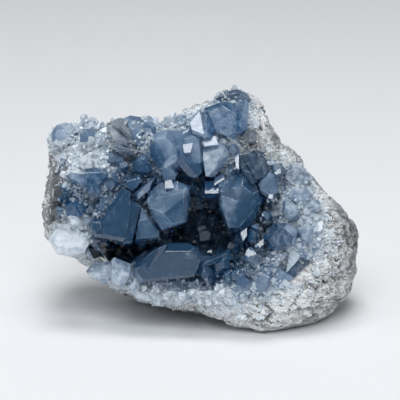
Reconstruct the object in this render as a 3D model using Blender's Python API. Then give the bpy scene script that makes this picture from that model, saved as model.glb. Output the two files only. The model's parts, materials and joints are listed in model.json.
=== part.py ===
"""A celestite geode: a chunk of host rock whose hollow is lined with one crust of pale blue crystals.

The chunk is described as somebody sees it who stands in front of its crystal side. A place on it is given
in millimetres as (across, up, out): to the right, upwards, and out towards the viewer. The viewer looks
down on it a little, so the whole description is tilted before it stands on the floor. Meshes are in metres.
"""

import math
import random
from collections import namedtuple

import bmesh
import bpy
from mathutils import Matrix, Vector, noise

MM = 0.001

# How the chunk stands
LOOK_DOWN = math.radians(14)  # the angle at which the viewer looks down on it
FLOOR_DROP = 46.1  # from the middle of the crystal side down to the floor
SOFT_FOOT = 3.0  # below this height the underside flattens out
FOOT_CUT = 0.8  # what is ground off it, which leaves the small flat spot that it rests on

# The rock's outline as the viewer sees it: (across, up, out), anticlockwise from the right
OUTLINE = [
    (65.5, -12.0, -24),
    (64.4, -5.0, -25),
    (57.5, 4.5, -26),
    (48.5, 14.5, -28),
    (41.5, 23.0, -30),
    (33.0, 30.5, -31),
    (26.0, 38.0, -31),
    (21.5, 47.0, -32),
    (14.5, 50.5, -32),
    (5.5, 48.8, -32),
    (-5.0, 43.5, -31),
    (-15.0, 37.6, -28),
    (-31.0, 37.6, -25),
    (-46.0, 36.8, -23),
    (-59.0, 35.0, -23),
    (-60.5, 26.0, -22),
    (-62.0, 13.0, -21),
    (-64.4, 1.0, -20),
    (-61.0, -9.5, -19),
    (-51.5, -14.5, -20),
    (-45.5, -21.5, -23),
    (-32.5, -30.0, -30),
    (-20.8, -38.4, -36),
    (0.0, -41.8, -24),
    (14.0, -45.0, -10),
    (24.8, -48.8, -2),
    (38.0, -46.5, -6),
    (50.0, -43.0, -15),
    (57.0, -37.0, -20),
    (62.8, -27.6, -23),
]

# Where the crystal crust ends on the rock's face: (across, up)
CRUST_EDGE = [
    (50.5, -8.0),
    (48.0, 4.0),
    (43.5, 14.0),
    (35.0, 20.5),
    (26.0, 27.0),
    (21.5, 36.0),
    (18.5, 45.5),
    (13.5, 48.6),
    (5.5, 46.6),
    (-5.0, 41.4),
    (-15.5, 35.8),
    (-31.0, 36.4),
    (-46.0, 35.4),
    (-57.0, 33.6),
    (-58.0, 24.0),
    (-59.5, 12.0),
    (-61.5, 1.0),
    (-58.5, -8.0),
    (-50.0, -12.8),
    (-43.5, -20.0),
    (-32.0, -28.2),
    (-20.0, -34.6),
    (-4.0, -35.6),
    (8.0, -36.0),
    (18.0, -34.5),
    (27.0, -31.5),
    (36.0, -28.0),
    (45.5, -20.5),
]
CRUST_EDGE_WAVE, CRUST_EDGE_SIZE = 0.08, 8.0  # how raggedly it ends, as a share, and the size of the waves

# The rock's face and back
FACE_OUT = 4.0  # the face's middle
FACE_LEAN = 0.24  # how much the face leans back for each millimetre up
SHOULDER = 9  # how suddenly the face rounds off into the outline
BACK_OUT = -62.0
BACK_LEAN = 0.12
BACK_MIDDLE = Vector((2.0, 4.0))  # (across, up)
BACK_SQUARE = 3.0  # 2 is an ellipse, and more is boxier

# Hollows in the face: the middle (across, up), the half widths, the turn in degrees and the depth
Hollow = namedtuple("Hollow", "at half turn deep")
HOLLOWS = [
    Hollow((2.0, -1.5), (25.0, 17.0), 8, 27.0),
    Hollow((-34.0, -13.5), (14.0, 7.0), -4, 13.0),
    Hollow((-28.0, 21.0), (12.0, 8.5), -15, 9.0),
    Hollow((28.0, 10.0), (9.0, 7.0), 30, 6.0),
    Hollow((-51.0, 0.5), (7.0, 4.0), -8, 5.0),
]
HOLLOW_WALL = 1.35  # how steep the walls are

# The rough outside: lumps as (size, height), ledges along slanting layers, and pits
LUMPS = [(34.0, 5.0), (15.0, 4.2), (8.0, 2.2)]
LAYERS = Vector((0.45, 0.72, 0.52)).normalized()
LAYER_THICK, LAYER_LEDGE = 14.0, 4.6
PIT_APART, PIT_WIDE, PIT_DEEP = 17.0, 0.42, 3.6
ROUGH_FROM = 0.82  # the share of the way from the face's middle to the outline where roughness begins
ROUGH_RIM = 0.35  # how much of it there is at the outline

# The sphere grids that the rock and the crust's bed are shaped from, and how much of the rock's is its face
ROCK_GRID, BED_GRID = 15, 8
FACE_SHARE = math.radians(49)

# The crust's bed, which the crystals stand in
BED_THICK = 2.3
BED_EDGE = 1.0
BED_BUMP_SIZE, BED_BUMP = 4.6, 0.9
BED_UNDER = 3.0  # how far the bed is made into the rock before it is trimmed
ROOT = 2.5  # how far a crystal's root goes below the rock's face before it is trimmed
ROCK_GAP = 0.45  # left between the crust and the rock

# Celestite's cell edges, which give the angles between its faces
CELL = Vector((8.359, 5.352, 6.866))
SIDE, WEDGE, BEVEL = (0, 1, 1), (2, 1, 0), (1, 0, 1)
STEEP = math.atan(CELL.z / CELL.y)  # 52 degrees from the broad face to a side face
GENTLE = math.atan(CELL.z / CELL.x)  # 39 degrees from it to a face at the tip
WIDE_FACET = 2.0  # facets that reach further in than this are gentle ones

# The big crystals. Each is the outline that the viewer sees (across, up), anticlockwise, the way its front
# face looks (across, up, out), how high that stands over the rock's face, and how far in from each edge in
# turn a slanting facet reaches. A crystal that doesn't go down to the rock has its own depth.
Block = namedtuple("Block", "outline face high facets deep", defaults=[(0,), None])
GLINT = (0.0, 0.62, 0.79)  # a face turned this way mirrors light from above to the viewer
STRAY = 0.22  # how far corners are moved, so that neighbours never share a face
STRAY_SEED = 3

TOP_CRYSTALS = [
    Block([(5.6, 33.2), (13.2, 30.4), (18.6, 35.0), (18.6, 42.0), (14.0, 45.0), (8.8, 45.6), (1.2, 42.8)],
          (-0.12, 0.3, 0.94), 9.5, (0, 1.2, 4.4, 4.0, 1.5, 2.4, 1.0)),
    Block([(13.2, 30.4), (16.0, 28.8), (20.0, 31.6), (20.4, 41.2), (18.4, 46.0), (14.4, 44.8)],
          (0.6, 0.05, 0.8), 6.0, (0, 0, 1.5, 0)),
    Block([(8.8, 42.8), (16.0, 42.8), (20.4, 45.6), (19.2, 49.2), (15.2, 50.8), (8.8, 49.6), (5.6, 46.0)],
          (0.1, 0.2, 0.97), 5.0, (0, 0, 0, 2.0, 1.6, 0, 1.4)),
    Block([(-3.2, 32.8), (1.2, 31.2), (2.4, 35.2), (1.2, 41.2), (-1.6, 40.8), (-4.4, 37.2)],
          GLINT, 8.5, (1.0, 0, 1.2, 0, 0.8, 0)),
    Block([(1.2, 36.0), (1.6, 30.8), (5.6, 30.0), (6.4, 33.2), (4.0, 38.8), (1.2, 40.8)],
          (0.45, 0.3, 0.85), 8.0, (0, 0, 1.2)),
    Block([(-28.0, 32.8), (-25.2, 28.0), (-20.4, 28.8), (-20.0, 35.6), (-23.5, 39.5), (-28.0, 40.4),
           (-31.2, 38.8)], (0.2, 0.3, 0.93), 8.0, (0, 1.2, 0, 2.8, 2.4, 1.6, 1.2)),
    Block([(-34.0, 29.2), (-29.2, 27.6), (-28.4, 29.6), (-31.2, 33.0), (-34.8, 36.0), (-36.8, 34.8)],
          (-0.25, 0.6, 0.78), 7.0, (1.2, 0, 0)),
    Block([(-32.0, 34.8), (-28.0, 29.2), (-25.6, 26.8), (-27.2, 31.6), (-31.2, 38.8), (-32.8, 38.4)],
          (0.7, 0.2, 0.7), 7.0),
    Block([(-34.0, 26.0), (-31.2, 24.0), (-26.4, 24.0), (-26.0, 26.0), (-28.8, 27.6), (-34.8, 29.2)],
          (0.1, 0.1, 0.97), 5.0, (0, 1.4, 0, 0, 1.2)),
    Block([(-21.8, 33.0), (-18.2, 32.6), (-17.6, 36.4), (-18.8, 39.2), (-20.8, 40.4), (-22.8, 38.0)],
          (0.2, 0.3, 0.93), 6.0, (0, 0.8, 1.2)),
    Block([(-17.2, 31.6), (-13.6, 32.4), (-14.4, 37.6), (-18.0, 36.8)], (-0.2, 0.6, 0.78), 5.5, (1.0, 0)),
    Block([(-13.6, 33.0), (-10.4, 34.0), (-10.0, 37.4), (-11.2, 40.0), (-14.4, 38.4)],
          (0.1, 0.3, 0.93), 5.0, (0, 1.2)),
    Block([(-10.4, 35.2), (-8.0, 34.0), (-4.8, 37.2), (-5.6, 40.4), (-10.4, 39.6)],
          (-0.1, 0.35, 0.93), 5.5, (0, 1.4, 1.2)),
    Block([(-59.0, 29.2), (-56.0, 27.6), (-50.4, 29.6), (-49.6, 34.0), (-53.0, 37.4), (-57.6, 36.4),
           (-59.8, 32.8)], (-0.05, 0.25, 0.96), 6.0, (1.4, 1.8, 1.6, 2.2, 2.6, 1.6)),
    Block([(-48.8, 30.8), (-44.0, 32.0), (-40.0, 34.0), (-41.6, 38.4), (-44.8, 39.2), (-49.6, 34.8)],
          (0.1, 0.3, 0.94), 5.0, (1.6, 0, 1.4, 2.0, 1.6, 1.0)),
]
MIDDLE_CRYSTALS = [
    Block([(1.6, 27.2), (7.2, 28.0), (6.4, 31.2), (1.2, 30.8)], GLINT, 6.5),
    Block([(1.2, 22.0), (2.0, 15.6), (5.2, 14.8), (8.8, 18.8), (11.6, 24.0), (11.2, 27.6), (6.8, 29.6),
           (1.2, 28.4)], (0.0, 0.1, 1.0), 5.0, (0, 0, 1.8, 2.6, 1.2, 1.2, 3.4, 0)),
    Block([(-9.6, 28.0), (-8.8, 20.0), (-4.8, 15.6), (-1.6, 14.4), (1.2, 17.2), (1.6, 22.0), (1.2, 31.6),
           (-3.2, 34.8), (-8.0, 33.2)],
          (0.08, 0.14, 0.98), 5.0, (1.2, 2.4, 1.0, 0, 0, 1.6, 2.4, 3.6, 2.2)),
    Block([(-6.4, 24.4), (-3.6, 24.8), (-2.4, 30.0), (-7.2, 30.4)], GLINT, 6.4, deep=6.0),
    Block([(-6.8, 30.8), (-3.2, 31.2), (-4.0, 34.0), (-6.8, 33.2)], GLINT, 6.2, deep=6.0),
    Block([(-20.0, 24.0), (-16.8, 18.0), (-12.0, 17.2), (-8.0, 20.0), (-6.8, 28.0), (-8.4, 33.6),
           (-14.0, 34.0), (-20.0, 32.4)], (-0.16, 0.14, 0.97), 3.5, (2.6, 1.2, 1.6, 0, 0, 1.2, 3.6, 2.4)),
    Block([(-18.0, -1.6), (-14.8, -6.0), (-4.8, -2.4), (-4.0, 4.0), (-4.0, 11.6), (-10.4, 14.4),
           (-16.0, 12.8), (-20.0, 9.2), (-21.2, 5.2)],
          (0.06, 0.12, 0.98), 4.5, (0.8, 1.0, 1.4, 2.4, 3.4, 4.6, 3.4, 1.4, 0.8), 15.0),
    Block([(-13.6, 10.4), (-10.2, 10.6), (-11.2, 14.0), (-14.0, 13.6)], GLINT, 4.6, deep=6.0),
    Block([(-14.4, 13.6), (-9.6, 14.0), (-8.8, 17.2), (-11.2, 20.0), (-15.2, 17.2)],
          (0.2, 0.2, 0.94), 3.4, (0, 0, 1.4)),
    Block([(-29.2, -10.4), (-27.6, 0.0), (-27.6, 9.2), (-30.8, 10.8), (-34.8, 5.6), (-39.6, -1.6),
           (-42.8, -8.0)], (-0.22, 0.14, 0.96), 5.5, (0, 0, 0, 1.6, 2.4, 2.4, 1.4), 16.0),
    Block([(-30.0, -11.2), (-26.0, -11.2), (-24.4, -3.2), (-22.8, 3.6), (-29.2, 8.0)],
          (0.5, 0.1, 0.85), 4.4, (0.8, 1.0, 0), 14.0),
    Block([(-28.8, 10.8), (-26.8, 9.6), (-23.2, 13.6), (-24.4, 16.0), (-29.2, 14.8)],
          (0.2, 0.3, 0.93), 4.6, (0, 0, 0, 1.4)),
    Block([(-24.4, 4.0), (-21.6, 4.8), (-20.0, 10.0), (-13.6, 15.6), (-16.0, 17.2), (-26.8, 9.6)],
          (-0.35, 0.3, 0.88), 3.8, (0, 0, 0, 0, 1.2)),
    Block([(-24.4, -3.6), (-25.2, -10.4), (-15.6, -9.2), (-16.0, -5.2), (-20.4, 0.4), (-22.8, 3.6)],
          (0.15, 0.1, 0.97), 1.6, (0, 1.2, 0.8, 1.6, 0, 0), 12.0),
    Block([(-27.2, 16.4), (-21.6, 15.6), (-19.2, 18.0), (-20.8, 23.6), (-23.6, 24.4), (-26.8, 22.0)],
          (-0.2, 0.1, 0.96), -1.0, (1.4, 0, 1.4, 1.8)),
    Block([(-34.0, 20.4), (-30.0, 20.4), (-30.4, 24.0), (-34.4, 23.6)], (0.2, 0.3, 0.93), 0.5, (1.0, 0)),
    Block([(2.0, 8.4), (7.4, 8.4), (7.4, 14.0), (2.0, 13.6)], GLINT, 0.5, deep=5.0),
    Block([(5.6, 11.6), (10.0, 14.4), (9.2, 16.8), (6.0, 14.4)], GLINT, 0.7, deep=5.0),
    # the largest one, right of the hollow
    Block([(8.0, 1.2), (11.0, -6.8), (17.4, -6.4), (22.0, -1.2), (24.0, 5.6), (22.4, 11.6), (16.0, 17.2),
           (11.6, 15.6), (7.2, 12.4)],
          (-0.02, 0.1, 0.99), 4.0, (1.0, 1.8, 2.8, 1.6, 2.6, 3.8, 5.2, 2.0, 0.8), 20.0),
]
RIGHT_CRYSTALS = [
    Block([(14.0, 18.8), (15.6, 18.0), (15.6, 25.2), (13.2, 25.2)], GLINT, 4.4, deep=7.0),
    Block([(16.0, 18.8), (20.0, 14.8), (24.8, 14.0), (28.0, 20.0), (25.6, 25.2), (20.8, 26.8),
           (15.6, 26.0)], (0.1, 0.2, 0.96), 3.6, (0, 1.4, 0, 1.8, 2.6, 2.0, 0)),
    Block([(20.8, 12.2), (22.8, 13.4), (18.0, 20.0), (16.2, 18.8)], (0.35, 0.5, 0.8), 5.0, deep=8.0),
    Block([(22.6, 13.8), (24.4, 14.8), (19.8, 21.4), (18.2, 20.4)], (0.35, 0.5, 0.8), 4.8, deep=8.0),
    Block([(24.0, 8.4), (27.2, 6.8), (30.8, 9.2), (30.4, 14.8), (27.2, 18.0), (22.4, 14.0)],
          (-0.2, 0.2, 0.95), 3.4, (1.2, 0, 1.6, 2.0, 1.6, 0)),
    Block([(33.6, 14.8), (36.8, 11.9), (42.0, 11.9), (44.0, 16.0), (40.8, 20.0), (36.8, 20.8),
           (33.2, 18.8)], (0.1, 0.25, 0.96), 4.8, (0, 0, 2.0, 2.6, 2.4, 1.8, 0)),
    Block([(28.8, 15.6), (32.0, 15.2), (34.0, 18.0), (32.0, 20.8), (28.0, 20.0)],
          (-0.2, 0.2, 0.95), 4.6, (0, 1.2, 0.8)),
    Block([(35.2, 7.6), (38.4, 4.4), (43.2, 3.6), (45.2, 7.6), (42.0, 11.4), (36.8, 11.4)],
          (0.2, 0.2, 0.96), 4.8, (1.4, 2.0, 2.0, 1.2)),
    Block([(32.0, 1.2), (34.8, -2.5), (38.8, -1.2), (38.4, 3.6), (35.2, 6.8), (32.4, 6.4)],
          (-0.2, 0.15, 0.96), 5.4, (1.6, 1.4, 0, 1.6)),
    Block([(28.0, -13.2), (33.6, -13.6), (37.6, -11.2), (38.4, -6.0), (35.2, -2.8), (29.6, -2.8),
           (24.8, -8.4)], (-0.05, 0.15, 0.98), 5.8, (1.4, 1.0, 1.8, 3.0, 2.2, 2.6, 1.2)),
    Block([(24.0, 0.4), (26.8, -2.0), (26.8, 0.8), (25.4, 1.8)], GLINT, 5.6),
    Block([(19.8, -4.4), (22.8, -5.4), (22.4, -3.0)], GLINT, 5.8),
    Block([(16.8, -10.4), (18.8, -7.8), (18.4, -4.8), (15.8, -6.8)], GLINT, 5.4),
    Block([(19.0, -10.4), (23.0, -11.0), (23.0, -6.0), (19.6, -5.4)], (0.1, 0.1, 0.98), 4.6, (0.8, 1.4)),
    Block([(23.2, -12.6), (24.8, -11.4), (25.2, -8.8), (22.2, -11.2)], GLINT, 6.0),
    Block([(26.8, 6.4), (28.8, 6.4), (28.8, 8.4), (27.0, 8.4)], GLINT, 5.4),
    Block([(29.0, 16.8), (30.0, 16.0), (32.0, 16.4), (31.6, 18.8)], GLINT, 6.4),
    # the ridges that fan out at the lower right
    Block([(30.6, -14.2), (32.4, -13.8), (36.8, -26.2), (35.0, -26.6)], (-0.5, 0.2, 0.85), 4.4),
    Block([(34.2, -13.6), (36.2, -13.2), (40.8, -24.2), (39.2, -25.0)], (-0.5, 0.2, 0.85), 4.8),
    Block([(37.8, -12.4), (39.8, -12.0), (43.8, -20.8), (42.4, -22.0)], (-0.5, 0.25, 0.85), 4.4),
]
LOWER_CRYSTALS = [
    Block([(-50.8, 13.2), (-46.4, 10.8), (-43.2, 14.0), (-44.8, 18.8), (-50.4, 19.6), (-54.0, 16.8)],
          (-0.15, 0.28, 0.94), 5.5, (1.4, 0, 1.2, 2.6, 1.8, 1.0)),
    Block([(-44.4, 10.8), (-40.0, 10.4), (-36.4, 14.0), (-36.0, 17.6), (-40.8, 19.4), (-45.2, 19.0)],
          (0.25, 0.25, 0.93), 5.0, (0, 1.4, 1.0, 1.6, 2.6)),
    Block([(-52.4, 0.4), (-48.8, 0.8), (-48.0, 4.4), (-50.4, 6.8), (-53.6, 4.8)],
          (0.1, 0.3, 0.95), 3.0, (0, 1.2)),
    Block([(-57.2, -14.4), (-51.2, -15.6), (-45.6, -14.4), (-43.6, -10.4), (-44.6, -7.4), (-48.8, -4.8),
           (-53.6, -4.0), (-57.6, -5.6), (-60.0, -9.2)],
          (-0.05, 0.24, 0.96), 6.0, (2.4, 2.8, 2.2, 1.6, 2.6, 3.2, 2.8, 2.2, 1.8)),
    Block([(-23.2, -26.4), (-18.0, -25.6), (-2.4, -24.0), (-0.4, -22.4), (2.0, -16.4), (-2.0, -12.0),
           (-5.2, -10.4), (-13.2, -10.8), (-20.8, -15.2), (-24.8, -18.0), (-26.8, -22.4)],
          (-0.05, 0.24, 0.97), 2.5, (0, 1.0, 1.0, 1.4, 2.6, 1.6, 3.6, 3.0, 2.0, 1.0, 1.6)),
    Block([(-26.2, -22.6), (-18.4, -21.6), (-13.6, -11.6), (-20.8, -14.8), (-24.8, -17.8)],
          (-0.3, 0.2, 0.93), 2.6, (0.8, 2.0, 0)),
    Block([(-0.4, -22.8), (6.0, -20.0), (12.4, -18.0), (11.6, -12.8), (2.0, -16.8)],
          (-0.15, 0.2, 0.97), 2.6, (0, 1.2, 1.6, 1.4)),
    Block([(-44.4, -24.0), (-39.2, -26.4), (-34.0, -26.4), (-32.4, -21.2), (-34.4, -17.2), (-42.4, -18.4),
           (-45.6, -22.0)], (-0.12, 0.25, 0.95), 4.6, (1.0, 1.4, 0, 1.4, 2.2, 2.4, 1.0)),
    Block([(-34.4, -26.0), (-30.8, -28.0), (-26.8, -23.6), (-25.2, -17.6), (-31.6, -14.8),
           (-34.4, -17.2)], (0.2, 0.2, 0.95), 4.0, (0, 1.4, 1.6, 2.4)),
    Block([(-34.4, -29.0), (-31.6, -29.6), (-29.8, -27.0), (-30.8, -24.4), (-33.6, -24.0),
           (-35.6, -26.8)], (-0.1, 0.25, 0.95), 4.6, (1.0,)),
    Block([(-24.0, -33.0), (-16.0, -33.8), (-14.0, -30.0), (-20.0, -26.4), (-29.2, -28.0)],
          (0.1, 0.3, 0.94), 3.4, (1.0, 0, 1.6, 1.4)),
]
BLOCKS = TOP_CRYSTALS + MIDDLE_CRYSTALS + RIGHT_CRYSTALS + LOWER_CRYSTALS

# The small crystals between the big ones
SMALL_COUNT = 50
SMALL_LENGTH = (6.0, 10.0)
SMALL_SPREAD = 0.45  # how far they stray from standing square on the bed
SMALL_SEED = 8
SMALL_WITHIN = 0.9  # the share of the way to the crust's edge
CLEAR_OF_BIG = 1.0  # of a big crystal's reach
CLEAR_OF_SMALL = 4.4

FRONT = Vector((0, 0, 1))
STANDS = Vector((0, math.cos(LOOK_DOWN), math.sin(LOOK_DOWN)))  # straight up, as (across, up, out)


def clear_scene():
    for obj in list(bpy.data.objects):
        bpy.data.objects.remove(obj)


def stretch_to(loop, angle):
    """The place at this angle from the middle on a closed loop of straight stretches."""
    way = Vector((math.cos(angle), math.sin(angle)))
    for start, end in zip(loop, loop[1:] + loop[:1]):
        a, b = Vector(start[:2]), Vector(end[:2])
        before, after = way.cross(a), way.cross(b)
        if before <= 0 < after and way.dot(b) > 0:
            return Vector(start).lerp(Vector(end), before / (before - after))
    raise ValueError("the loop doesn't go round the middle")


def face_level(across, up):
    """How far out the rock's face would be here, without its hollows."""
    rim = stretch_to(OUTLINE, math.atan2(up, across))
    rounding = min(1.0, math.hypot(across, up) / math.hypot(rim.x, rim.y)) ** SHOULDER
    return (FACE_OUT - FACE_LEAN * up) * (1 - rounding) + rim.z * rounding


def hollow_depth(across, up):
    deep = 0.0
    for hollow in HOLLOWS:
        offset = Vector((across, up)) - Vector(hollow.at)
        offset.rotate(Matrix.Rotation(-math.radians(hollow.turn), 2))
        reach = (offset.x / hollow.half[0]) ** 2 + (offset.y / hollow.half[1]) ** 2
        deep += hollow.deep * math.exp(-(reach**HOLLOW_WALL))
    return deep


def face_out(across, up):
    """How far out the rock's face is here, under the crust."""
    return face_level(across, up) - hollow_depth(across, up)


def bed_normal(across, up, step=1.5):
    """The way the bed looks here."""
    slope_across = (face_out(across + step, up) - face_out(across - step, up)) / (2 * step)
    slope_up = (face_out(across, up + step) - face_out(across, up - step)) / (2 * step)
    return Vector((-slope_across, -slope_up, 1)).normalized()


def rough_height(point):
    """How far the rough rock stands out at this place."""
    height = sum(high * noise.noise(point / size) for size, high in LUMPS)
    layer = point.dot(LAYERS) / LAYER_THICK + 0.7 * noise.noise(point / 21)
    within = layer - math.floor(layer)
    ledge = within if within < 0.8 else (1 - within) * 4
    near = noise.voronoi(point / PIT_APART)[0][0]
    pit = max(0.0, 1 - (near / PIT_WIDE) ** 2)
    return height + LAYER_LEDGE * (ledge - 0.5) - PIT_DEEP * pit


def settle(point):
    """Flattens the underside where it comes near the floor."""
    height = point.dot(STANDS) + FLOOR_DROP
    if height >= SOFT_FOOT:
        return point
    flatter = SOFT_FOOT * math.exp((height - SOFT_FOOT) / SOFT_FOOT)
    return point + STANDS * (flatter - height)


def rock_point(way):
    """The place on the rock that a point of the unit sphere goes to. The sphere's +Z looks out."""
    polar, angle = math.acos(max(-1.0, min(1.0, way.z))), math.atan2(way.y, way.x)
    rim = stretch_to(OUTLINE, angle)
    if polar <= FACE_SHARE:
        share = math.sin(polar / 2) / math.sin(FACE_SHARE / 2)
        across, up = rim.x * share, rim.y * share
        point = Vector((across, up, face_out(across, up)))
        roughness = ROUGH_RIM * max(0.0, share - ROUGH_FROM) / (1 - ROUGH_FROM)
    else:
        turn = (polar - FACE_SHARE) / (math.pi - FACE_SHARE) * math.pi / 2
        size = (math.cos(turn) ** BACK_SQUARE + math.sin(turn) ** BACK_SQUARE) ** (1 / BACK_SQUARE)
        across, up = BACK_MIDDLE.lerp(rim.xy, math.cos(turn) / size)
        back = BACK_OUT - BACK_LEAN * up
        point = Vector((across, up, rim.z + (back - rim.z) * math.sin(turn) / size))
        roughness = min(1.0, ROUGH_RIM + turn)
    away = (point - Vector((0, 0, rim.z))).normalized()
    return settle(point + away * rough_height(point) * roughness)


def bed_point(way):
    """The crust's bed as a flat cake: the sphere's front half is its top, and the back half its underside."""
    polar, angle = math.acos(max(-1.0, min(1.0, way.z))), math.atan2(way.y, way.x)
    edge = stretch_to(CRUST_EDGE, angle)
    ragged = 1 - CRUST_EDGE_WAVE * (1 + noise.noise(Vector((edge.x, edge.y, 0)) / CRUST_EDGE_SIZE)) / 2
    share = math.sqrt(2) * math.sin(min(polar, math.pi - polar) / 2)
    across, up = edge.xy * min(1.0, share) * ragged
    out = face_out(across, up)
    if polar > math.pi / 2 + 0.01:
        return Vector((across, up, out - BED_UNDER))
    bump = BED_BUMP * noise.noise(Vector((across, up, out)) / BED_BUMP_SIZE)
    thick = BED_EDGE + (BED_THICK + bump - BED_EDGE) * (1 - share**10)
    return Vector((across, up, out + thick))


def new_object(name, mesh, collection, parent):
    obj = bpy.data.objects.new(name, mesh)
    collection.objects.link(obj)
    obj.parent = parent
    return obj


def grid_sphere(grid, place):
    """A sphere of even squares, halved into triangles, whose every point is moved to where place says."""
    bm = bmesh.new()
    bmesh.ops.create_cube(bm, size=2)
    bmesh.ops.subdivide_edges(bm, edges=bm.edges, cuts=grid - 1, use_grid_fill=True)
    for vert in bm.verts:
        even = Vector([math.tan(value * math.pi / 4) for value in vert.co])
        vert.co = place(even.normalized()) * MM
    bmesh.ops.triangulate(bm, faces=bm.faces)
    return bm


def finish_mesh(bm, name):
    bmesh.ops.recalc_face_normals(bm, faces=bm.faces)
    mesh = bpy.data.meshes.new(name)
    bm.to_mesh(mesh)
    bm.free()
    return mesh


def cleave(bm, place, outward):
    """Cuts away what lies beyond a plane, in millimetres, and closes the cut with a flat face."""
    parts = bm.verts[:] + bm.edges[:] + bm.faces[:]
    cut = bmesh.ops.bisect_plane(bm, geom=parts, plane_co=place * MM, plane_no=outward, clear_outer=True)
    edges = [e for e in cut["geom_cut"] if isinstance(e, bmesh.types.BMEdge)]
    if edges:
        bmesh.ops.contextual_create(bm, geom=edges)


def rock_mesh():
    bm = grid_sphere(ROCK_GRID, rock_point)
    cleave(bm, STANDS * (FOOT_CUT - FLOOR_DROP), -STANDS)
    return finish_mesh(bm, "host_rock")


def make_clearance(rock, helpers, stand):
    """A slightly swollen copy of the rock, which trims the crust's underside."""
    clearance = new_object("rock_clearance", rock.data.copy(), helpers, stand)
    swell = clearance.modifiers.new("swell", "DISPLACE")
    swell.strength = ROCK_GAP * MM
    swell.mid_level = 0
    return clearance


def block_mesh(block, chance):
    """A big crystal, cleaved from a lump round its outline. It leans half way from the viewer to its face."""
    face = Vector(block.face).normalized()
    stands = (face + FRONT).normalized()
    outline = [Vector((across + chance.uniform(-STRAY, STRAY), up + chance.uniform(-STRAY, STRAY)))
               for across, up in block.outline]
    middle = sum(outline, Vector((0, 0))) / len(outline)
    top = Vector((*middle, face_level(*middle) + block.high))
    deep = block.deep or top.z - face_out(*middle) + ROOT
    corners = [Vector((*place, top.z - face.xy.dot(place - middle) / face.z)) for place in outline]

    bm = bmesh.new()
    bmesh.ops.create_cube(bm, size=0.2, matrix=Matrix.Translation(top * MM))
    cleave(bm, top, face)
    cleave(bm, top - stands * deep, -stands)
    for number, (start, end) in enumerate(zip(corners, corners[1:] + corners[:1])):
        cleave(bm, start, (end - start).cross(stands).normalized())
        reach = block.facets[number % len(block.facets)]
        if reach:
            outward = (end - start).cross(face).normalized()
            lean = GENTLE if reach > WIDE_FACET else STEEP
            cleave(bm, start - outward * reach, face * math.cos(lean) + outward * math.sin(lean))
    return finish_mesh(bm, "crystal")


def face_normal(indices):
    """The way a crystal face looks, from its Miller indices."""
    return Vector([index / edge for index, edge in zip(indices, CELL)]).normalized()


def small_mesh(size, chance):
    """A whole crystal, cleaved along celestite's own faces. Its tip is at +X and its root at -X."""
    length, width, thick = size
    side, wedge, bevel = face_normal(SIDE), face_normal(WEDGE), face_normal(BEVEL)
    side_reach = width / 2 * side.y
    wedge_reach = length / 2 * wedge.x * chance.uniform(0.84, 0.98)
    bevel_reach = length / 2 * bevel.x * chance.uniform(0.8, 1.0) + thick * 0.16
    cuts = [(Vector((0, 0, 1)), thick / 2), (Vector((0, 0, -1)), thick / 2), (Vector((-1, 0, 0)), length / 2)]
    for sign in (1, -1):
        cuts.append((Vector((0, side.y, side.z * sign)), side_reach * chance.uniform(0.92, 1.08)))
        cuts.append((Vector((0, -side.y, side.z * sign)), side_reach * chance.uniform(0.92, 1.08)))
        cuts.append((Vector((wedge.x, wedge.y * sign, 0)), wedge_reach * chance.uniform(0.93, 1.05)))
        cuts.append((Vector((bevel.x, 0, bevel.z * sign)), bevel_reach * chance.uniform(0.92, 1.06)))
    bm = bmesh.new()
    bmesh.ops.create_cube(bm, size=2 * length * MM)
    for outward, reach in cuts:
        cleave(bm, outward * reach, outward)
    return finish_mesh(bm, "crystal")


def is_crowded(place, taken):
    return any((place - middle).length < clear for middle, clear in taken)


def block_reach(block):
    """A big crystal's middle, and how far it reaches from it on average."""
    corners = [Vector(corner) for corner in block.outline]
    middle = sum(corners, Vector((0, 0))) / len(corners)
    return middle, CLEAR_OF_BIG * sum((corner - middle).length for corner in corners) / len(corners)


def random_turn(normal, chance):
    """Takes a small crystal's X roughly to this way, and spins it at random."""
    aim = normal + Vector([chance.uniform(-1, 1) for _ in range(3)]) * SMALL_SPREAD
    spin = Matrix.Rotation(chance.uniform(0, math.tau), 3, "X")
    return aim.to_track_quat("X", "Z").to_matrix() @ spin


def plant_small_crystals(collection, parent):
    """Fills the bed between the big crystals with small ones that stand roughly square on it."""
    chance = random.Random(SMALL_SEED)
    taken = [block_reach(block) for block in BLOCKS]
    for _ in range(SMALL_COUNT):
        place = None
        while place is None or is_crowded(place, taken):
            angle = chance.uniform(-math.pi, math.pi)
            place = stretch_to(CRUST_EDGE, angle).xy * math.sqrt(chance.random()) * SMALL_WITHIN
        taken.append((place, CLEAR_OF_SMALL))
        length = chance.uniform(*SMALL_LENGTH)
        size = (length, length * chance.uniform(0.6, 0.85), length * chance.uniform(0.5, 0.75))
        turn = random_turn(bed_normal(*place), chance)
        root = Vector((*place, face_out(*place)))
        obj = new_object("crystal", small_mesh(size, chance), collection, parent)
        obj.matrix_local = Matrix.Translation((root + turn.col[0] * length / 2) * MM) @ turn.to_4x4()


def boolean(obj, name, operation, solver):
    modifier = obj.modifiers.new(name, "BOOLEAN")
    modifier.operation = operation
    modifier.solver = solver
    return modifier


def make_material(name, colour, roughness, transmission=0.0, ior=1.5):
    material = bpy.data.materials.new(name)
    material.use_nodes = True
    shader = material.node_tree.nodes["Principled BSDF"]
    shader.inputs["Base Color"].default_value = (*colour, 1)
    shader.inputs["Roughness"].default_value = roughness
    shader.inputs["Metallic"].default_value = 0
    shader.inputs["Transmission Weight"].default_value = transmission
    shader.inputs["IOR"].default_value = ior
    return material


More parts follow.
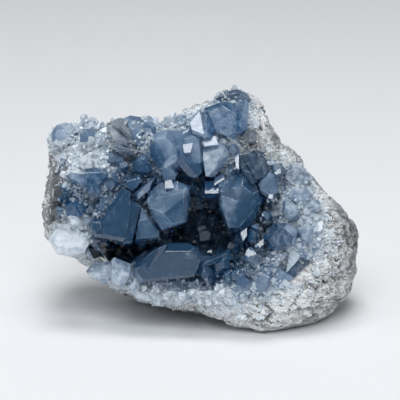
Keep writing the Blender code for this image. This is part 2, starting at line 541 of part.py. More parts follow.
def make_crust(specimen, helpers, stand, clearance):
    bed = finish_mesh(grid_sphere(BED_GRID, bed_point), "celestite_crust")
    crust = new_object("celestite_crust", bed, specimen, stand)
    crust.data.materials.append(make_material("celestite", (0.36, 0.5, 0.66), 0.12, 0.7, 1.63))
    crystals = bpy.data.collections.new("crystals")
    helpers.children.link(crystals)
    chance = random.Random(STRAY_SEED)
    for block in BLOCKS:
        new_object("crystal", block_mesh(block, chance), crystals, stand)
    plant_small_crystals(crystals, stand)
    grown = boolean(crust, "grown_together", "UNION", "EXACT")
    grown.operand_type = "COLLECTION"
    grown.collection = crystals
    boolean(crust, "fitted_to_rock", "DIFFERENCE", "EXACT").object = clearance
    fill_gaps(crust)
    return crust


def fill_gaps(crust):
    """Makes the modified crust a plain mesh, and fills the gaps that are sealed in between its crystals."""
    bpy.context.view_layer.update()
    graph = bpy.context.evaluated_depsgraph_get()
    bm = bmesh.new()
    bm.from_mesh(crust.evaluated_get(graph).data)
    bm.verts.ensure_lookup_table()
    outside = max(bm.verts, key=lambda vert: vert.co.length)
    reached, edge = {outside}, [outside]
    while edge:
        near = {e.other_vert(vert) for vert in edge for e in vert.link_edges}
        edge = near - reached
        reached |= edge
    sealed = [vert for vert in bm.verts if vert not in reached]
    bmesh.ops.delete(bm, geom=sealed, context="VERTS")
    crust.modifiers.clear()
    bm.to_mesh(crust.data)
    bm.free()


def stand_on_floor(stand, parts):
    """Tilts the specimen to how the viewer sees it, and centres its box over the origin, on the floor."""
    stand.rotation_euler = (math.pi / 2 - LOOK_DOWN, 0, 0)
    bpy.context.view_layer.update()
    graph = bpy.context.evaluated_depsgraph_get()
    points = []
    for part in parts:
        evaluated = part.evaluated_get(graph)
        points += [evaluated.matrix_world @ vert.co for vert in evaluated.data.vertices]
    low = [min(point[axis] for point in points) for axis in range(3)]
    high = [max(point[axis] for point in points) for axis in range(3)]
    stand.location = (-(low[0] + high[0]) / 2, -(low[1] + high[1]) / 2, -low[2])


def main():
    clear_scene()
    specimen = bpy.data.collections.new("celestite_geode")
    helpers = bpy.data.collections.new("growth")
    bpy.context.scene.collection.children.link(specimen)
    bpy.context.scene.collection.children.link(helpers)
    stand = bpy.data.objects.new("stand", None)
    specimen.objects.link(stand)

    rock = new_object("host_rock", rock_mesh(), specimen, stand)
    rock.data.materials.append(make_material("weathered_limestone", (0.42, 0.41, 0.38), 0.9))
    clearance = make_clearance(rock, helpers, stand)
    crust = make_crust(specimen, helpers, stand, clearance)
    for helper in helpers.all_objects:
        helper.hide_render = True
        helper.display_type = "WIRE"
    stand_on_floor(stand, [rock, crust])


main()
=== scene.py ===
"""The looks of a celestite geode: weathered host rock, the blue crystals in its hollow, and fine druse.

Sizes are in millimetres, and meshes in metres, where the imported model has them. Some places are given as
they are seen from in front of the crystals: (across, up, out), from the middle of that side. Patterns are
drawn in millimetres too, so the scale of each is one divided by the real size of what it shows.
"""

import json
import math
import random

import bmesh
import bpy
import numpy as np
from mathutils import Matrix, Vector
from mathutils.bvhtree import BVHTree

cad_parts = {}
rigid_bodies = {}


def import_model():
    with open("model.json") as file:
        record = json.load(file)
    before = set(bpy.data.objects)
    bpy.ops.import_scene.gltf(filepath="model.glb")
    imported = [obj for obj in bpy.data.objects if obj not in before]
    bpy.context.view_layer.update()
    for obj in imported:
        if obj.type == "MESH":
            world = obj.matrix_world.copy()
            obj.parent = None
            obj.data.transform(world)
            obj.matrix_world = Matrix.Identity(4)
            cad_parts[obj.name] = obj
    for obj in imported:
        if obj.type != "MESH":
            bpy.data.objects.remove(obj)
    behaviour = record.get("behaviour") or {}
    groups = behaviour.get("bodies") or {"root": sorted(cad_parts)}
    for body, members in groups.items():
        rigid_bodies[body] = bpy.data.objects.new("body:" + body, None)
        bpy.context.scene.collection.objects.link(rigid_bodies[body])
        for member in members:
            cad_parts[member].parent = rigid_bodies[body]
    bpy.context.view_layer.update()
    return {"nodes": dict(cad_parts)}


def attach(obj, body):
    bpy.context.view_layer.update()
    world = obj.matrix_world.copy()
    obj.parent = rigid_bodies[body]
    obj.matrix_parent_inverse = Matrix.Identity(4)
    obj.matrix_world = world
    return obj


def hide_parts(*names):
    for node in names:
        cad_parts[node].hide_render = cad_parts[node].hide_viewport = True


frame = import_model()

# The view: the camera is in front of the crystal side, looks down on it a little, and stands far enough off
# for the chunk to look as flat as it does in the photograph.
MM = 0.001
LOOK_DOWN = math.radians(14)
FACE_MIDDLE = Vector((-0.65, -22.64, 45.3))  # the middle of the crystal side
ACROSS = Vector((1, 0, 0))
UP = Vector((0, math.sin(LOOK_DOWN), math.cos(LOOK_DOWN)))
OUT = Vector((0, -math.cos(LOOK_DOWN), math.sin(LOOK_DOWN)))
VIEW_MIDDLE = (0, 6, -10)  # (across, up, out)
VIEW_AWAY, VIEW_WIDE, VIEW_NEAREST = 1100, 160, 50


def seen_at(across, up, out):
    """The place in metres of a point given as the camera sees it."""
    return (FACE_MIDDLE + ACROSS * across + UP * up + OUT * out) * MM


camera = bpy.data.objects.new("camera", bpy.data.cameras.new("camera"))
bpy.context.scene.collection.objects.link(camera)
bpy.context.scene.camera = camera
camera.location = seen_at(*VIEW_MIDDLE) + OUT * VIEW_AWAY * MM
camera.rotation_euler = (-OUT).to_track_quat("-Z", "Y").to_euler()
camera.data.angle = 2 * math.atan(VIEW_WIDE / 2 / VIEW_AWAY)
camera.data.clip_start = VIEW_NEAREST * MM
bpy.context.scene.view_settings.view_transform = "Standard"

# The host rock: a broken chunk of weathered limestone, grey and granular, with bark-like layers along its
# right rim and pits where grains have fallen out. It is whiter by the crust and towards its foot. Nothing
# is fixed to it: the crystals have grown on it, and it rests on its own flat spot.
ROCK_VOXEL = 0.8
ROCK_SOFTEN = 10  # rounds of smoothing, which take the coarse solid's corners off
LUMP_SIZE, LUMP_HIGH = 12.0, 1.4
GRAIN_SIZE, GRAIN_HIGH = 1.8, 0.5
LAYER_SIZE, LAYER_THIN, LAYER_HIGH = 8.0, 4.5, 0.9
LAYER_NORMAL = (ACROSS * 0.45 + UP * 0.72 + OUT * 0.52).normalized()
PIT_APART, PIT_WIDE, PIT_DEEP = 7.0, 0.3, 1.2  # both widths are shares of how far apart they are
CREVICE_APART, CREVICE_WIDE, CREVICE_DEEP = 13.0, 0.07, 1.3
CREVICE_BEND_SIZE, CREVICE_BEND = 5, 7.0
BARE_FROM, BARE_TO = 0.5, 5.0  # how far from the crust the relief begins, and where it is full
FOOT_FREE = 4.0  # the height up to which the relief dies out, so that the flat spot stays flat
# The last colour is painted shade, for the rock's pits, crevices and small holes.
ROCK_GREY, ROCK_WHITE, ROCK_STAIN, ROCK_PAINTED_SHADE = "#9DA3A9", "#F8FAFB", "#A89A87", "#4A4946"
PATCH_SIZE, STAIN_SIZE, STAIN_MOST = 9, 17, 0.35
SUGAR_FROM, SUGAR_TO = 3.0, 27.0  # how far from the crust the rock is whitest, and where it is plain
GREY_ABOVE, WHITE_BELOW = 36.0, 12.0  # the heights between which it goes from greyer to whiter
SPECKLE_SIZE, SPECKLE_DARK, SPECKLE_BRIGHT = 0.9, 0.74, 1.28
# Painted shade: how strongly small holes that the mesh lacks, and sunk places, are darkened.
HOLE_SIZE, HOLE_PAINTED_SHADE, SUNK_PAINTED_SHADE = 4.5, 0.85, 0.9  # how dark small holes and sunk places are
ROCK_BUMP = 1.1  # how deep the finest grain looks


def linear(colour):
    """An sRGB hex colour as the linear values that sockets take."""
    parts = [int(colour[place:place + 2], 16) / 255 for place in (1, 3, 5)]
    return (*[part / 12.92 if part <= 0.04045 else ((part + 0.055) / 1.055) ** 2.4 for part in parts], 1.0)


def add(tree, kind, inputs=None, out=0, **settings):
    """Adds a node, sets it up, sets or links its inputs, and returns one output, or the node for None."""
    made = tree.nodes.new(kind)
    for name, value in settings.items():
        setattr(made, name, value)
    for socket, value in (inputs or {}).items():
        if isinstance(value, bpy.types.NodeSocket):
            tree.links.new(value, made.inputs[socket])
        else:
            made.inputs[socket].default_value = value
    return made if out is None else made.outputs[out]


def new_tree(name, **inputs):
    """A geometry tree that takes a mesh and these inputs: it, its inputs' sockets, and its last node."""
    tree = bpy.data.node_groups.new(name, "GeometryNodeTree")
    tree.interface.new_socket("mesh", in_out="INPUT", socket_type="NodeSocketGeometry")
    tree.interface.new_socket("mesh", in_out="OUTPUT", socket_type="NodeSocketGeometry")
    for label, kind in inputs.items():
        tree.interface.new_socket(label, in_out="INPUT", socket_type="NodeSocket" + kind)
    return tree, tree.nodes.new("NodeGroupInput").outputs, tree.nodes.new("NodeGroupOutput")


def use_tree(obj, tree, **values):
    """Gives an object a tree as its modifier, and sets the tree's named inputs by their identifiers."""
    modifier = obj.modifiers.new(tree.name, "NODES")
    modifier.node_group = tree
    for item in tree.interface.items_tree:
        if item.name in values:
            modifier[item.identifier] = values[item.name]


def made_plain(obj, name):
    """Puts what an object's modifiers make into a plain mesh at the origin, under a new name."""
    graph = bpy.context.evaluated_depsgraph_get()
    mesh = bpy.data.meshes.new_from_object(obj.evaluated_get(graph), depsgraph=graph)
    mesh.name = name
    bpy.data.objects.remove(obj)
    plain = bpy.data.objects.new(name, mesh)
    bpy.context.scene.collection.objects.link(plain)
    return plain


def merged_copy(node, name):
    """A new object with a CAD node's mesh, its loose triangles merged."""
    mesh = frame["nodes"][node].data.copy()
    mesh.materials.clear()
    bm = bmesh.new()
    bm.from_mesh(mesh)
    bmesh.ops.remove_doubles(bm, verts=bm.verts, dist=0.001 * MM)
    bm.to_mesh(mesh)
    bm.free()
    obj = bpy.data.objects.new(name, mesh)
    bpy.context.scene.collection.objects.link(obj)
    return obj


def in_layers(tree, mm):
    """Coordinates stretched across the rock's layers, so that a pattern on them lies in thin sheets."""
    along = add(tree, "ShaderNodeVectorMath", {0: mm, 1: LAYER_NORMAL}, "Value", operation="DOT_PRODUCT")
    stretch = add(tree, "ShaderNodeMath", {0: along, 1: LAYER_THIN - 1}, operation="MULTIPLY")
    shift = add(tree, "ShaderNodeVectorMath", {0: LAYER_NORMAL, "Scale": stretch}, operation="SCALE")
    return add(tree, "ShaderNodeVectorMath", {0: mm, 1: shift}, operation="ADD")


def rock_relief(material):
    """The tree that roughens the rock: lumps, grains, layers, pits and crevices, which die out under the
    crust and at the flat spot. It stores how high a point stands as "relief", and how far from the crust it
    is as "from_crust"."""
    tree, given, last = new_tree(
        "rock relief", crust="Object", lump_size="Float", lump_high="Float", grain_size="Float",
        grain_high="Float", layer_size="Float", layer_high="Float", pit_apart="Float", pit_deep="Float",
        crevice_apart="Float", crevice_deep="Float")
    place = add(tree, "GeometryNodeInputPosition")
    mm = add(tree, "ShaderNodeVectorMath", {0: place, "Scale": 1 / MM}, operation="SCALE")
    crust = add(tree, "GeometryNodeObjectInfo", {"Object": given["crust"]}, "Geometry")
    away = add(tree, "GeometryNodeProximity", {0: crust}, "Distance")
    away_mm = add(tree, "ShaderNodeMath", {0: away, 1: 1 / MM}, operation="MULTIPLY")
    bare = add(tree, "ShaderNodeMapRange", {"Value": away_mm, "From Min": BARE_FROM, "From Max": BARE_TO},
               interpolation_type="SMOOTHSTEP")
    height = add(tree, "ShaderNodeSeparateXYZ", {0: mm}, "Z")
    free = add(tree, "ShaderNodeMapRange", {"Value": height, "From Min": 0.0, "From Max": FOOT_FREE},
               interpolation_type="SMOOTHSTEP")

    per_lump = add(tree, "ShaderNodeMath", {0: 1.0, 1: given["lump_size"]}, operation="DIVIDE")
    lump = add(tree, "ShaderNodeTexNoise", {"Vector": mm, "Scale": per_lump, "Detail": 4.0,
                                            "Roughness": 0.6})
    lump = add(tree, "ShaderNodeMapRange", {"Value": lump, "From Min": 0.25, "From Max": 0.75,
                                            "To Min": -1.0}, clamp=False)
    lumps = add(tree, "ShaderNodeMath", {0: lump, 1: given["lump_high"]}, operation="MULTIPLY")

    per_grain = add(tree, "ShaderNodeMath", {0: 1.0, 1: given["grain_size"]}, operation="DIVIDE")
    grain = add(tree, "ShaderNodeTexVoronoi", {"Vector": mm, "Scale": per_grain}, "Distance")
    grain = add(tree, "ShaderNodeMath", {0: 0.5, 1: grain}, operation="SUBTRACT")
    grains = add(tree, "ShaderNodeMath", {0: grain, 1: given["grain_high"]}, operation="MULTIPLY")

    layered = in_layers(tree, mm)
    per_layer = add(tree, "ShaderNodeMath", {0: 1.0, 1: given["layer_size"]}, operation="DIVIDE")
    layer = add(tree, "ShaderNodeTexNoise", {"Vector": layered, "Scale": per_layer, "Detail": 3.0})
    layer = add(tree, "ShaderNodeMapRange", {"Value": layer, "From Min": 0.36, "From Max": 0.56,
                                             "To Min": -1.0, "To Max": 0.3},
                interpolation_type="SMOOTHSTEP")
    layers = add(tree, "ShaderNodeMath", {0: layer, 1: given["layer_high"]}, operation="MULTIPLY")

    per_pit = add(tree, "ShaderNodeMath", {0: 1.0, 1: given["pit_apart"]}, operation="DIVIDE")
    pit = add(tree, "ShaderNodeTexVoronoi", {"Vector": mm, "Scale": per_pit}, "Distance")
    pit = add(tree, "ShaderNodeMapRange", {"Value": pit, "From Min": 0.12, "From Max": PIT_WIDE,
                                           "To Min": 1.0, "To Max": 0.0}, interpolation_type="SMOOTHSTEP")
    pits = add(tree, "ShaderNodeMath", {0: pit, 1: given["pit_deep"]}, operation="MULTIPLY")

    bend = add(tree, "ShaderNodeTexNoise", {"Vector": mm, "Scale": 1 / CREVICE_BEND_SIZE, "Detail": 2.0},
               "Color")
    bend = add(tree, "ShaderNodeVectorMath", {0: bend, "Scale": CREVICE_BEND}, operation="SCALE")
    bent = add(tree, "ShaderNodeVectorMath", {0: mm, 1: bend}, operation="ADD")
    per_crevice = add(tree, "ShaderNodeMath", {0: 1.0, 1: given["crevice_apart"]}, operation="DIVIDE")
    crevice = add(tree, "ShaderNodeTexVoronoi", {"Vector": bent, "Scale": per_crevice}, "Distance",
                  feature="DISTANCE_TO_EDGE")
    crevice = add(tree, "ShaderNodeMapRange", {"Value": crevice, "From Max": CREVICE_WIDE, "To Min": 1.0,
                                               "To Max": 0.0}, interpolation_type="SMOOTHSTEP")
    crevices = add(tree, "ShaderNodeMath", {0: crevice, 1: given["crevice_deep"]}, operation="MULTIPLY")

    total = lumps
    for part, how in ((grains, "ADD"), (layers, "ADD"), (pits, "SUBTRACT"), (crevices, "SUBTRACT"),
                      (bare, "MULTIPLY"), (free, "MULTIPLY")):
        total = add(tree, "ShaderNodeMath", {0: total, 1: part}, operation=how)

    mesh = given["mesh"]
    for label, value in (("relief", total), ("from_crust", away_mm)):
        mesh = add(tree, "GeometryNodeStoreNamedAttribute", {"Geometry": mesh, "Name": label,
                                                             "Value": value}, data_type="FLOAT")
    raised = add(tree, "GeometryNodeInputNamedAttribute", {"Name": "relief"}, data_type="FLOAT")
    raised = add(tree, "ShaderNodeMath", {0: raised, 1: MM}, operation="MULTIPLY")
    normal = add(tree, "GeometryNodeInputNormal")
    offset = add(tree, "ShaderNodeVectorMath", {0: normal, "Scale": raised}, operation="SCALE")
    mesh = add(tree, "GeometryNodeSetPosition", {"Geometry": mesh, "Offset": offset})
    after = add(tree, "GeometryNodeInputPosition")
    # Nothing goes below the ground. Sideways the limit is a metre, which is far outside the chunk
    above =add(tree, "ShaderNodeVectorMath", {0: after, 1: (-1.0, -1.0, 0.0)}, operation="MAXIMUM")
    mesh = add(tree, "GeometryNodeSetPosition", {"Geometry": mesh, "Position": above})
    mesh = add(tree, "GeometryNodeSetShadeSmooth", {"Geometry": mesh, "Shade Smooth": True})
    mesh = add(tree, "GeometryNodeRealizeInstances", {"Geometry": mesh})
    mesh = add(tree, "GeometryNodeSetMaterial", {"Geometry": mesh, "Material": material})
    tree.links.new(mesh, last.inputs[0])
    return tree


def rock_material():
    """Weathered limestone: dull, pale grey grains with darker specks, sugary white by the crust, stained in
    places, and darkened to dark grey by painted shade in its pits, crevices and small holes."""
    material = bpy.data.materials.new("weathered limestone")
    material.use_nodes = True
    tree = material.node_tree
    shader = tree.nodes["Principled BSDF"]
    place = add(tree, "ShaderNodeTexCoord", out="Object")
    mm = add(tree, "ShaderNodeVectorMath", {0: place, "Scale": 1 / MM}, operation="SCALE")

    away = add(tree, "ShaderNodeAttribute", out="Fac", attribute_name="from_crust")
    sugar = add(tree, "ShaderNodeMapRange", {"Value": away, "From Min": SUGAR_FROM, "From Max": SUGAR_TO,
                                             "To Min": 1.0, "To Max": -0.1})
    height = add(tree, "ShaderNodeSeparateXYZ", {0: mm}, "Z")
    low = add(tree, "ShaderNodeMapRange", {"Value": height, "From Min": GREY_ABOVE, "From Max": WHITE_BELOW,
                                           "To Min": -0.6, "To Max": 0.3})
    sugar = add(tree, "ShaderNodeMath", {0: sugar, 1: low}, operation="ADD")
    patch = add(tree, "ShaderNodeTexNoise", {"Vector": mm, "Scale": 1 / PATCH_SIZE, "Detail": 6.0,
                                             "Roughness": 0.65})
    patch = add(tree, "ShaderNodeMapRange", {"Value": patch, "From Min": 0.36, "From Max": 0.64})
    patch = add(tree, "ShaderNodeMath", {0: patch, 1: sugar}, operation="ADD", use_clamp=True)
    colour = add(tree, "ShaderNodeMix", {"Factor": patch, "A": linear(ROCK_GREY), "B": linear(ROCK_WHITE)},
                 2, data_type="RGBA")

    stain = add(tree, "ShaderNodeTexNoise", {"Vector": mm, "Scale": 1 / STAIN_SIZE, "Detail": 5.0,
                                             "Roughness": 0.7})
    stain = add(tree, "ShaderNodeMapRange", {"Value": stain, "From Min": 0.55, "From Max": 0.72,
                                             "To Max": STAIN_MOST})
    colour = add(tree, "ShaderNodeMix", {"Factor": stain, "A": colour, "B": linear(ROCK_STAIN)}, 2,
                 data_type="RGBA")

    grain = add(tree, "ShaderNodeTexVoronoi", {"Vector": mm, "Scale": 1 / SPECKLE_SIZE}, "Color")
    grain = add(tree, "ShaderNodeSeparateColor", {0: grain})
    speckle = add(tree, "ShaderNodeMapRange", {"Value": grain, "To Min": SPECKLE_DARK,
                                               "To Max": SPECKLE_BRIGHT})
    colour = add(tree, "ShaderNodeMix", {"Factor": 1.0, "A": colour, "B": speckle}, 2, data_type="RGBA",
                 blend_type="MULTIPLY")

    # Painted shade: dark grey laid on small holes that the mesh lacks, and on places that the relief sinks,
    # where shade would fall.
    hole_shade = add(tree, "ShaderNodeTexNoise", {"Vector": in_layers(tree, mm), "Scale": 1 / HOLE_SIZE,
                                            "Detail": 4.0, "Roughness": 0.7})
    hole_shade = add(tree, "ShaderNodeMapRange", {"Value": hole_shade, "From Min": 0.385, "From Max": 0.465,
                                            "To Min": HOLE_PAINTED_SHADE, "To Max": 0.0})
    relief = add(tree, "ShaderNodeAttribute", out="Fac", attribute_name="relief")
    sunk_shade = add(tree, "ShaderNodeMapRange", {"Value": relief, "From Min": -2.0, "From Max": -0.3,
                                            "To Min": SUNK_PAINTED_SHADE, "To Max": 0.0})
    sunk_shade = add(tree, "ShaderNodeMath", {0: sunk_shade, 1: hole_shade}, operation="MAXIMUM")
    colour = add(tree, "ShaderNodeMix", {"Factor": sunk_shade, "A": colour, "B": linear(ROCK_PAINTED_SHADE)}, 2,
                 data_type="RGBA")
    tree.links.new(colour, shader.inputs["Base Color"])

    fine = add(tree, "ShaderNodeTexNoise", {"Vector": mm, "Scale": 1 / SPECKLE_SIZE, "Detail": 3.0,
                                            "Roughness": 0.7})
    bump = add(tree, "ShaderNodeBump", {"Height": fine, "Strength": 1.0, "Distance": ROCK_BUMP * MM})
    tree.links.new(bump, shader.inputs["Normal"])
    shader.inputs["Roughness"].default_value = 0.85
    return material


rock = merged_copy("host_rock", "rock_form")
remesh = rock.modifiers.new("even grid", "REMESH")
remesh.mode = "VOXEL"
remesh.voxel_size = ROCK_VOXEL * MM
soften = rock.modifiers.new("softened corners", "SMOOTH")
soften.iterations = ROCK_SOFTEN
use_tree(rock, rock_relief(rock_material()), crust=frame["nodes"]["celestite_crust"],
         lump_size=LUMP_SIZE, lump_high=LUMP_HIGH, grain_size=GRAIN_SIZE, grain_high=GRAIN_HIGH,
         layer_size=LAYER_SIZE, layer_high=LAYER_HIGH, pit_apart=PIT_APART, pit_deep=PIT_DEEP,
         crevice_apart=CREVICE_APART, crevice_deep=CREVICE_DEEP)
rock = made_plain(rock, "weathered_rock")
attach(rock, "root")
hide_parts("host_rock")

# The crust: large blocky celestite crystals, grown together on the hollow's wall. They are see-through and
# blue, milky in places, with glassy cleavage faces and thin frosted edges where they have chipped.
FLAT_WITHIN = math.radians(1.5)  # faces that differ by less are one cleavage face
EDGE_SHARP, EDGE_LONG, EDGE_WIDE = math.radians(22), 0.8, 0.1
BED_THICK, BED_MILKY = 3.4, 0.15  # how near the rock the crust is only a bed, and how milky that is
FACE_TONES, FACE_SEED = (0.2, 0.8), 2
CELESTITE_IOR = 1.62
CLEAR_MOST, CLEAR_LEAST = 0.8, 0.25  # how see-through the deep blue and the pale parts are
CRUST_BLUE, CRUST_RIM = "#5390C6", 0.25  # its deep colour, and how much paler it is at the hollow's rim
CRUST_INSIDE, CRUST_DENSITY = "#6A9CC6", 60.0  # what light turns to on its way through, and how soon
# The last colour is painted shade, laid on crystals in the pocket, the slot and other shaded places.
PALE_BLUE, WARM_GREY, SUGAR_WHITE, PAINTED_SHADE_BLUE = "#D6E4F0", "#BDB9AE", "#E3EEF7", "#1B2A3A"
VEIL_SIZE, VEIL_PALE = 9, 0.35
CLEFT_APART, CLEFT_TONE, CRACK_WIDE, CRACK_PALE = 11, 0.18, 0.02, 0.22
MOTTLE_SIZE, MOTTLE_DEEP, MILKY_BUMP = 2.2, 0.6, 1.6
WORN_SIZE, WORN_PALE = 2.5, 0.7
TONE_SPREAD = 0.15  # how far a face's tone may be from the middle one
# Round this place (across, up) the crystals are deep blue, and they turn pale between these two shares of
# the reach (across, up)
DEEP_MIDDLE, DEEP_REACH, RIM_FROM, RIM_TO = (-8, -4), (35, 28), 0.7, 1.5
# What differs from the rest: its middle and its reach (across, up), how much milkier and warmer it is, and
# how much painted shade darkens it, standing in for the shade in the pocket, the slot and other shaded
# places
ODD_PARTS = [
    ((8.8, 38.0), (9, 9), -0.25, 0.0, 0.0),
    ((-26.0, 34.0), (6, 5), -0.2, 0.0, 0.0),
    ((-11.0, 1.0), (9, 10), 0.03, 0.0, 0.0),
    ((16.0, 3.0), (10, 13), -0.25, 0.0, 0.0),
    ((8.0, 20.0), (5, 5), 0.35, 0.0, 0.0),
    ((46.0, 2.0), (13, 26), 0.42, 0.0, 0.0),
    ((36.0, 22.0), (7, 7), 0.1, 0.2, 0.0),
    ((24.0, 28.0), (9, 7), 0.0, 0.45, 0.2),
    ((21.0, 19.5), (6, 6), -0.5, 0.1, 0.3),
    ((30.0, -9.0), (7, 6), -0.55, 0.0, 0.2),
    ((38.0, -20.0), (7, 5.5), -0.5, 0.2, 0.4),
    ((2.0, -8.0), (13, 11), -0.3, 0.1, 0.55),
    ((-33.0, 31.5), (4.5, 4.5), 0.3, 0.4, 0.0),
    ((-30.0, 26.5), (4, 4), 0.0, 0.3, 0.0),
    ((-32.0, -4.0), (9, 9), -0.3, 0.0, 0.1),
    ((-14.0, -31.0), (27, 5.5), 0.8, 0.1, 0.0),
    ((-8.0, -21.0), (17, 9), -0.6, 0.0, 0.22),
    ((-37.0, -23.0), (11, 6.5), 0.6, 0.0, 0.0),
    ((-33.0, -14.5), (13, 3.5), -0.7, 0.0, 1.0),
    ((-44.0, 9.0), (12, 9), -0.25, 0.0, 0.0),
    ((-50.0, 24.0), (13, 7), 0.85, 0.1, 0.0),
    ((-61.0, 10.0), (6, 14), 0.1, 0.6, 0.7),
    ((-51.0, -10.0), (9.5, 9.5), 1.0, 0.0, 0.0),
    ((15.4, 47.6), (7, 4.5), 0.0, 0.15, 0.1),
]


def store(mesh, name, values):
    """Stores one number for each face of a mesh, under this name."""
    mesh.attributes.new(name, "FLOAT", "FACE").data.foreach_set("value", values)


def store_oddness(mesh, bed=None):
    """Stores how milky and warm each face is, and how much painted shade darkens it: by the part of the
    crystal side that it is in, and by whether it is on the bed, near this tree of the rock's faces."""
    middles = np.empty(len(mesh.polygons) * 3)
    mesh.polygons.foreach_get("center", middles)
    middles = middles.reshape(-1, 3)
    seen = (middles / MM - np.array(FACE_MIDDLE)) @ np.array([ACROSS, UP]).T
    milky = np.zeros(len(seen))
    warm = np.zeros(len(seen))
    dark = np.zeros(len(seen))
    if bed:
        milky += [BED_MILKY * (bed.find_nearest(middle)[3] < BED_THICK * MM) for middle in middles]
    for middle, reach, more_milky, more_warm, more_painted_shade in ODD_PARTS:
        within = (((seen - middle) / reach) ** 2).sum(axis=1) < 1
        milky[within] += more_milky
        warm[within] = more_warm
        dark[within] = more_painted_shade
    store(mesh, "milky", milky)
    store(mesh, "warm", warm)
    store(mesh, "dark", dark)


def chipped_edges(bm):
    """Chips the long outer edges of the crystals by a hair's breadth, and returns the faces it leaves."""
    bmesh.ops.dissolve_limit(bm, angle_limit=FLAT_WITHIN, verts=bm.verts, edges=bm.edges)
    long_edges = [edge for edge in bm.edges if edge.is_manifold and edge.calc_length() > EDGE_LONG * MM
                  and edge.calc_face_angle_signed(0) > EDGE_SHARP]
    made = bmesh.ops.bevel(bm, geom=long_edges, offset=EDGE_WIDE * MM, segments=1, affect="EDGES",
                           clamp_overlap=False)
    return set(made["faces"])


